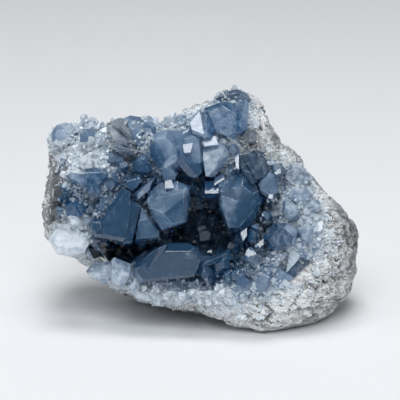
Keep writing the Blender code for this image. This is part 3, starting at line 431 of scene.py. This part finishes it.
def celestite(name, deep, rim_pale):
    """Clear to milky celestite, as it grew and cleaved: glassy faces, deep blue in the middle of the hollow
    and pale towards its rim, with milky veils, cleavage planes of another tone and thin cracks inside, and
    white chipped edges. The milky parts are duller and uneven, and painted shade darkens the recesses."""
    material = bpy.data.materials.new(name)
    material.use_nodes = True
    tree = material.node_tree
    shader = tree.nodes["Principled BSDF"]
    place = add(tree, "ShaderNodeTexCoord", out="Object")
    mm = add(tree, "ShaderNodeVectorMath", {0: place, "Scale": 1 / MM}, operation="SCALE")
    offset = add(tree, "ShaderNodeVectorMath", {0: mm, 1: FACE_MIDDLE}, operation="SUBTRACT")
    across = add(tree, "ShaderNodeVectorMath", {0: offset, 1: ACROSS}, "Value", operation="DOT_PRODUCT")
    up = add(tree, "ShaderNodeVectorMath", {0: offset, 1: UP}, "Value", operation="DOT_PRODUCT")
    away = add(tree, "ShaderNodeCombineXYZ", {0: across, 1: up})
    away = add(tree, "ShaderNodeVectorMath", {0: away, 1: (*DEEP_MIDDLE, 0)}, operation="SUBTRACT")
    away = add(tree, "ShaderNodeVectorMath", {0: away, 1: (*DEEP_REACH, 1)}, operation="DIVIDE")
    away = add(tree, "ShaderNodeVectorMath", {0: away}, "Value", operation="LENGTH")
    rim = add(tree, "ShaderNodeMapRange", {"Value": away, "From Min": RIM_FROM, "From Max": RIM_TO,
                                           "To Max": rim_pale})
    face = {label: add(tree, "ShaderNodeAttribute", out="Fac", attribute_name=label)
            for label in ("milky", "warm", "dark", "chipped", "tone", "whiter")}

    haze = add(tree, "ShaderNodeTexNoise", {"Vector": mm, "Scale": 1 / VEIL_SIZE, "Detail": 2.0,
                                            "Roughness": 0.5, "Distortion": 0.4})
    plane = add(tree, "ShaderNodeTexVoronoi", {"Vector": mm, "Scale": 1 / CLEFT_APART}, "Color")
    plane = add(tree, "ShaderNodeSeparateColor", {0: plane})
    plane = add(tree, "ShaderNodeMapRange", {"Value": plane, "To Min": -CLEFT_TONE, "To Max": CLEFT_TONE})
    crack_pale = add(tree, "ShaderNodeMapRange", {"Value": haze, "From Min": 0.45, "From Max": 0.55,
                                                  "To Max": CRACK_PALE})
    crack = add(tree, "ShaderNodeTexVoronoi", {"Vector": mm, "Scale": 1 / CLEFT_APART}, "Distance",
                feature="DISTANCE_TO_EDGE")
    crack = add(tree, "ShaderNodeMapRange", {"Value": crack, "From Max": CRACK_WIDE, "To Min": crack_pale,
                                             "To Max": 0.0})
    veil = add(tree, "ShaderNodeMapRange", {"Value": haze, "From Min": 0.42, "From Max": 0.72,
                                            "To Max": VEIL_PALE})
    spread = add(tree, "ShaderNodeMapRange", {"Value": face["tone"], "To Min": -TONE_SPREAD,
                                              "To Max": TONE_SPREAD})
    crackle = add(tree, "ShaderNodeTexNoise", {"Vector": mm, "Scale": 1 / MOTTLE_SIZE, "Detail": 4.0})
    mottle = add(tree, "ShaderNodeMapRange", {"Value": crackle, "From Min": 0.42, "From Max": 0.6,
                                              "To Max": MOTTLE_DEEP})
    mottle = add(tree, "ShaderNodeMath", {0: mottle, 1: face["milky"]}, operation="MULTIPLY")
    pale = rim
    for part, how in ((face["milky"], "ADD"), (mottle, "SUBTRACT"), (face["whiter"], "ADD"), (veil, "ADD"),
                      (crack, "ADD"), (plane, "ADD")):
        pale = add(tree, "ShaderNodeMath", {0: pale, 1: part}, operation=how)
    pale = add(tree, "ShaderNodeMath", {0: pale, 1: spread}, operation="ADD", use_clamp=True)
    worn = add(tree, "ShaderNodeTexNoise", {"Vector": mm, "Scale": 1 / WORN_SIZE, "Detail": 3.0})
    worn = add(tree, "ShaderNodeMapRange", {"Value": worn, "From Min": 0.43, "From Max": 0.66,
                                            "To Max": WORN_PALE})
    worn = add(tree, "ShaderNodeMath", {0: worn, 1: face["chipped"]}, operation="MULTIPLY")
    pale = add(tree, "ShaderNodeMath", {0: pale, 1: worn}, operation="MAXIMUM")

    sugary = add(tree, "ShaderNodeMath", {0: face["whiter"], 1: 0.9}, operation="MULTIPLY",
                 use_clamp=True)
    chalky = add(tree, "ShaderNodeMapRange", {"Value": face["milky"], "From Min": 0.5, "To Max": 0.6})
    sugary = add(tree, "ShaderNodeMath", {0: sugary, 1: chalky}, operation="MAXIMUM")
    colour = linear(deep)
    # The last colour is painted shade, which darkens the faces in the pocket, the slot and other shaded
    # places.
    for share, towards in ((pale, PALE_BLUE), (face["warm"], WARM_GREY), (sugary, SUGAR_WHITE),
                           (face["dark"], PAINTED_SHADE_BLUE)):
        colour = add(tree, "ShaderNodeMix", {"Factor": share, "A": colour, "B": linear(towards)}, 2,
                     data_type="RGBA")
    tree.links.new(colour, shader.inputs["Base Color"])
    clear = add(tree, "ShaderNodeMapRange", {"Value": pale, "To Min": CLEAR_MOST, "To Max": CLEAR_LEAST})
    glassy = add(tree, "ShaderNodeMath", {0: 1.0, 1: sugary}, operation="SUBTRACT")
    clear = add(tree, "ShaderNodeMath", {0: clear, 1: glassy}, operation="MULTIPLY")
    tree.links.new(clear, shader.inputs["Transmission Weight"])
    rough = add(tree, "ShaderNodeMapRange", {"Value": pale, "To Min": 0.08, "To Max": 0.24})
    tree.links.new(rough, shader.inputs["Roughness"])
    bump = add(tree, "ShaderNodeBump", {"Height": crackle, "Strength": face["milky"],
                                        "Distance": MILKY_BUMP * MM})
    tree.links.new(bump, shader.inputs["Normal"])
    shader.inputs["IOR"].default_value = CELESTITE_IOR
    shader.inputs["Coat Weight"].default_value = 0.35
    shader.inputs["Coat Roughness"].default_value = 0.15
    shader.inputs["Coat IOR"].default_value = CELESTITE_IOR
    return material


crust = merged_copy("celestite_crust", "blue_crystals")
bm = bmesh.new()
bm.from_mesh(crust.data)
chips = chipped_edges(bm)
bm.normal_update()
marks = [float(face in chips) for face in bm.faces]
bm.to_mesh(crust.data)
bm.free()
chance = random.Random(FACE_SEED)
host = frame["nodes"]["host_rock"].data
host_faces = BVHTree.FromPolygons([vert.co for vert in host.vertices],
                                  [face.vertices for face in host.polygons])
store_oddness(crust.data, host_faces)
store(crust.data, "chipped", marks)
store(crust.data, "tone", [chance.uniform(*FACE_TONES) for mark in marks])
blue = celestite("blue celestite", CRUST_BLUE, CRUST_RIM)
absorb = add(blue.node_tree, "ShaderNodeVolumeAbsorption", {"Color": linear(CRUST_INSIDE),
                                                            "Density": CRUST_DENSITY})
blue.node_tree.links.new(absorb, blue.node_tree.nodes["Material Output"].inputs["Volume"])
crust.data.materials.append(blue)
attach(crust, "root")
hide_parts("celestite_crust")

# The druse: thousands of small celestite crystals, which cover the crust's bed between the large ones and
# run out over the rock round it, smaller and whiter. All of them have grown where they are.
FORMS, FORM_SEED = 5, 4
CELL = (8.36, 5.35, 6.87)  # celestite's cell edges, which give the angles between its faces
FORM_WIDE, FORM_THICK = (0.22, 0.36), (0.16, 0.3)  # from its axis to its sides, as shares of its length
FORM_UNEVEN = (0.8, 1.1)  # how unequally far out its faces are
FORM_LONG, BEVEL_BEYOND = 0.95, 0.04  # where its tip is, and how much further out the bevels are
ROOT = 0.3  # the share of a crystal that is below the ground it grows on
DRUSE_BLUE, DRUSE_RIM = "#44759F", 1.1
DRUSE_TILT = 0.7  # the most that one leans each way (radians)
DRUSE_SHRINK = 0.6  # the size of those at the edge of the growth, beside those in its midst
DRUSE_DENSEST = 2e6  # more of them to a square metre than there is room for, so that they grow close
WHITE_FROM, WHITE_TO = 0.5, 6.0  # how far from the other piece they begin to whiten, and are whitest
# Which forms they have, how far apart they grow, from how short to how long, how far from the other piece
# they are dense and gone, and how much whiter they are where they end
DRUSE = [
    ("bed_druse", "grains", 1.15, 1.1, 2.7, 2.9, 4.2, 0.0),
    ("bed_clumps", "crystals", 3.8, 3.0, 5.6, 2.9, 4.2, 0.0),
    ("rim_druse", "grains", 1.15, 1.0, 2.3, 0.5, 7.0, 0.7),
    ("rim_sugar", "grains", 0.9, 0.7, 1.6, 4.0, 17.0, 1.2),
    ("rim_clumps", "crystals", 3.8, 2.4, 4.6, 1.0, 4.5, 0.3),
]
# Where there is no druse: a dark slot, and ridges that fan out. The middle and the reach (across, up, out),
# and the shares of the reach at which it is gone and full
BARE_PLACES = [((-33, -15, -8), (14, 18, 5.5)), ((37.5, -19.5, 2), (8, 12, 7))]
BARE_WITHIN, FULL_BEYOND = 0.8, 1.1


def crystal_face(a, b, c):
    """The way a crystal face looks, from its Miller indices."""
    return Vector((a / CELL[0], b / CELL[1], c / CELL[2])).normalized()


def cleave(bm, place, outward):
    """Cuts away what lies beyond a plane, and closes the cut with a flat face."""
    parts = bm.verts[:] + bm.edges[:] + bm.faces[:]
    cut = bmesh.ops.bisect_plane(bm, geom=parts, plane_co=place, plane_no=outward, clear_outer=True)
    edges = [edge for edge in cut["geom_cut"] if isinstance(edge, bmesh.types.BMEdge)]
    if edges:
        bmesh.ops.contextual_create(bm, geom=edges)


def crystal_form(name, bevelled, chance):
    """A small crystal, about 1 mm long, cleaved from a cube along celestite's own faces, its tip at +Z."""
    bm = bmesh.new()
    bmesh.ops.create_cube(bm, size=2)
    side, wedge, bevel = crystal_face(0, 1, 1), crystal_face(2, 1, 0), crystal_face(1, 0, 1)
    width = chance.uniform(*FORM_WIDE)
    thick = chance.uniform(*FORM_THICK)
    cleave(bm, Vector((0, 0, thick)), Vector((0, 0, 1)))
    cleave(bm, Vector((0, 0, -thick)), Vector((0, 0, -1)))
    cleave(bm, Vector((0, 0, 0)), Vector((-1, 0, 0)))
    for sign in (1, -1):
        cuts = [(Vector((0, side.y, side.z * sign)), width), (Vector((0, -side.y, side.z * sign)), width),
                (Vector((wedge.x, wedge.y * sign, 0)), wedge.x * FORM_LONG)]
        if bevelled:
            cuts.append((Vector((bevel.x, 0, bevel.z * sign)), bevel.x * FORM_LONG + BEVEL_BEYOND))
        for outward, reach in cuts:
            cleave(bm, outward * reach * chance.uniform(*FORM_UNEVEN), outward)
    bm.transform(Matrix.Scale(MM, 4) @ Matrix.Rotation(-math.pi / 2, 4, "Y")
                 @ Matrix.Translation((-ROOT, 0, 0)))
    mesh = bpy.data.meshes.new(name)
    bm.to_mesh(mesh)
    bm.free()
    return mesh


def druse_growth(material):
    """The tree that grows small crystals on a mesh where another object is near, and drops the mesh."""
    tree, given, last = new_tree(
        "druse growth", other="Object", forms="Collection", apart="Float", short="Float", long="Float",
        near="Float", far="Float", whiter="Float", seed="Int")
    other = add(tree, "GeometryNodeObjectInfo", {"Object": given["other"]}, "Geometry")
    away = add(tree, "GeometryNodeProximity", {0: other}, "Distance")
    away = add(tree, "ShaderNodeMath", {0: away, 1: 1 / MM}, operation="MULTIPLY")
    growth = add(tree, "ShaderNodeMapRange", {"Value": away, "From Min": given["near"],
                                              "From Max": given["far"], "To Min": 1.0, "To Max": 0.0})
    place = add(tree, "GeometryNodeInputPosition")
    for middle, reach in BARE_PLACES:
        bare = add(tree, "ShaderNodeVectorMath", {0: place, 1: seen_at(*middle)}, operation="SUBTRACT")
        bare = add(tree, "ShaderNodeVectorMath", {0: bare, 1: Vector(reach) * MM}, operation="DIVIDE")
        bare = add(tree, "ShaderNodeVectorMath", {0: bare}, "Value", operation="LENGTH")
        bare = add(tree, "ShaderNodeMapRange", {"Value": bare, "From Min": BARE_WITHIN,
                                                "From Max": FULL_BEYOND})
        growth = add(tree, "ShaderNodeMath", {0: growth, 1: bare}, operation="MULTIPLY")
    apart = add(tree, "ShaderNodeMath", {0: given["apart"], 1: MM}, operation="MULTIPLY")
    points = add(tree, "GeometryNodeDistributePointsOnFaces",
                 {"Mesh": given["mesh"], "Distance Min": apart, "Density Max": DRUSE_DENSEST,
                  "Density Factor": growth, "Seed": given["seed"]}, None, distribute_method="POISSON")
    lean = add(tree, "FunctionNodeRandomValue",
               {0: (-DRUSE_TILT, -DRUSE_TILT, 0.0), 1: (DRUSE_TILT, DRUSE_TILT, math.tau), "Seed": 1}, 0,
               data_type="FLOAT_VECTOR")
    lean = add(tree, "FunctionNodeEulerToRotation", {0: lean})
    turn = add(tree, "FunctionNodeRotateRotation", {0: points.outputs["Rotation"], 1: lean},
               rotation_space="LOCAL")
    length = add(tree, "FunctionNodeRandomValue", {2: given["short"], 3: given["long"], "Seed": 2}, 1,
                 data_type="FLOAT")
    shrink = add(tree, "ShaderNodeMapRange", {"Value": growth, "To Min": DRUSE_SHRINK})
    length = add(tree, "ShaderNodeMath", {0: length, 1: shrink}, operation="MULTIPLY")
    forms = add(tree, "GeometryNodeCollectionInfo", {"Collection": given["forms"],
                                                     "Separate Children": True, "Reset Children": True})
    grown = add(tree, "GeometryNodeInstanceOnPoints",
                {"Points": points.outputs["Points"], "Instance": forms, "Pick Instance": True,
                 "Rotation": turn, "Scale": length})
    tone = add(tree, "FunctionNodeRandomValue", {2: 0.0, 3: 1.0, "Seed": 3}, 1, data_type="FLOAT")
    white = add(tree, "ShaderNodeMapRange", {"Value": away, "From Min": WHITE_FROM, "From Max": WHITE_TO,
                                             "To Max": given["whiter"]})
    for label, value in (("tone", tone), ("whiter", white)):
        grown = add(tree, "GeometryNodeStoreNamedAttribute", {"Geometry": grown, "Name": label,
                                                              "Value": value},
                    data_type="FLOAT", domain="INSTANCE")
    grown = add(tree, "GeometryNodeRealizeInstances", {"Geometry": grown})
    grown = add(tree, "GeometryNodeSetMaterial", {"Geometry": grown, "Material": material})
    tree.links.new(grown, last.inputs[0])
    return tree


chance = random.Random(FORM_SEED)
forms = {}
for kind, bevelled in (("grains", False), ("crystals", True)):
    forms[kind] = bpy.data.collections.new(kind)
    bpy.context.scene.collection.children.link(forms[kind])
    for number in range(FORMS):
        form = crystal_form(f"{kind} {number}", bevelled, chance)
        forms[kind].objects.link(bpy.data.objects.new(form.name, form))
growth = druse_growth(celestite("celestite druse", DRUSE_BLUE, DRUSE_RIM))
for seed, (name, kind, apart, short, long, near, far, whiter) in enumerate(DRUSE):
    on_bed = name.startswith("bed")
    druse = bpy.data.objects.new("ground", crust.data if on_bed else rock.data)
    bpy.context.scene.collection.objects.link(druse)
    other = frame["nodes"]["host_rock" if on_bed else "celestite_crust"]
    use_tree(druse, growth, other=other, forms=forms[kind], apart=apart, short=short, long=long, near=near,
             far=far, whiter=whiter, seed=seed)
    druse = made_plain(druse, name)
    store_oddness(druse.data)
    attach(druse, "root")
for collection in forms.values():
    for form in list(collection.objects):
        bpy.data.objects.remove(form)
    bpy.data.collections.remove(collection)

# The stage: a pale, seamless floor that rises to a low wall all round, under a plain sky. It is of pale
# cloth, dull and without gloss, so it shows only soft light and a soft shadow.
FLOOR_FLAT, FLOOR_REACH, WALL_HIGH = 2200, 3000, 700
WALL_STEPS, FLOOR_SIDES = 12, 96
FLOOR_COLOUR, FLOOR_ROUGHNESS = "#EBEDF0", 0.95


def floor_rings():
    """The rings of the floor from the inner one outwards, as (away from the middle, height)."""
    turns = [math.pi / 2 * step / WALL_STEPS for step in range(WALL_STEPS + 1)]
    rise = FLOOR_REACH - FLOOR_FLAT
    return [(FLOOR_FLAT + rise * math.sin(turn), WALL_HIGH * (1 - math.cos(turn))) for turn in turns]


points = [(0, 0, 0)]
for away, high in floor_rings():
    turns = [math.tau * side / FLOOR_SIDES for side in range(FLOOR_SIDES)]
    points += [(away * MM * math.cos(turn), away * MM * math.sin(turn), high * MM) for turn in turns]
faces = []
for side in range(FLOOR_SIDES):
    after = (side + 1) % FLOOR_SIDES
    faces.append((0, 1 + side, 1 + after))
    for inner in range(1, len(points) - FLOOR_SIDES, FLOOR_SIDES):
        outer = inner + FLOOR_SIDES
        faces.append((inner + side, outer + side, outer + after, inner + after))
floor_mesh = bpy.data.meshes.new("floor")
floor_mesh.from_pydata(points, [], faces)
floor_mesh.shade_smooth()
floor = bpy.data.objects.new("floor", floor_mesh)
bpy.context.scene.collection.objects.link(floor)
cloth = bpy.data.materials.new("pale cloth")
cloth.use_nodes = True
shader = cloth.node_tree.nodes["Principled BSDF"]
shader.inputs["Base Color"].default_value = linear(FLOOR_COLOUR)
shader.inputs["Roughness"].default_value = FLOOR_ROUGHNESS
shader.inputs["Specular IOR Level"].default_value = 0.0
floor_mesh.materials.append(cloth)

# The light: a dim sky, brighter overhead, with a soft lamp overhead, a broad strong one in front and weak
# ones at the left and behind. The front and back ones leave no mirror image, as if seen through a
# polariser, so large faces stay deep blue. The mirrored ones aren't seen through crystal, as bright dots.
SKY_COLOUR, SKY_LOW, SKY_HIGH = "#F4F6F8", 0.08, 0.28
LAMP_AIM = Vector((0, 0, 0.04))  # where the lamps point (metres)
# Where each lamp is (metres), how wide it is, its watts, and whether polished faces mirror it
LAMPS = [
    ("overhead lamp", (0, -0.02, 1.15), 0.66, 6.0, True),
    ("front lamp", (-0.2, -2.12, 2.22), 1.8, 48.0, False),
    ("left lamp", (-1.4, -0.6, 1.4), 1.2, 3.0, True),
    ("back lamp", (0.3, 1.5, 1.3), 1.2, 1.4, False),
]

world = bpy.data.worlds.new("sky")
bpy.context.scene.world = world
world.use_nodes = True
tree = world.node_tree
height = add(tree, "ShaderNodeTexCoord", out="Generated")
height = add(tree, "ShaderNodeSeparateXYZ", {0: height}, "Z")
bright = add(tree, "ShaderNodeMapRange", {"Value": height, "To Min": SKY_LOW, "To Max": SKY_HIGH})
tree.links.new(bright, tree.nodes["Background"].inputs["Strength"])
tree.nodes["Background"].inputs["Color"].default_value = linear(SKY_COLOUR)
for name, place, wide, watts, mirrored in LAMPS:
    lamp = bpy.data.objects.new(name, bpy.data.lights.new(name, "AREA"))
    bpy.context.scene.collection.objects.link(lamp)
    lamp.data.shape = "DISK"
    lamp.data.size = wide
    lamp.data.energy = watts
    lamp.visible_glossy = mirrored
    lamp.visible_transmission = not mirrored
    lamp.location = place
    lamp.rotation_euler = (Vector(place) - LAMP_AIM).to_track_quat("Z", "Y").to_euler()
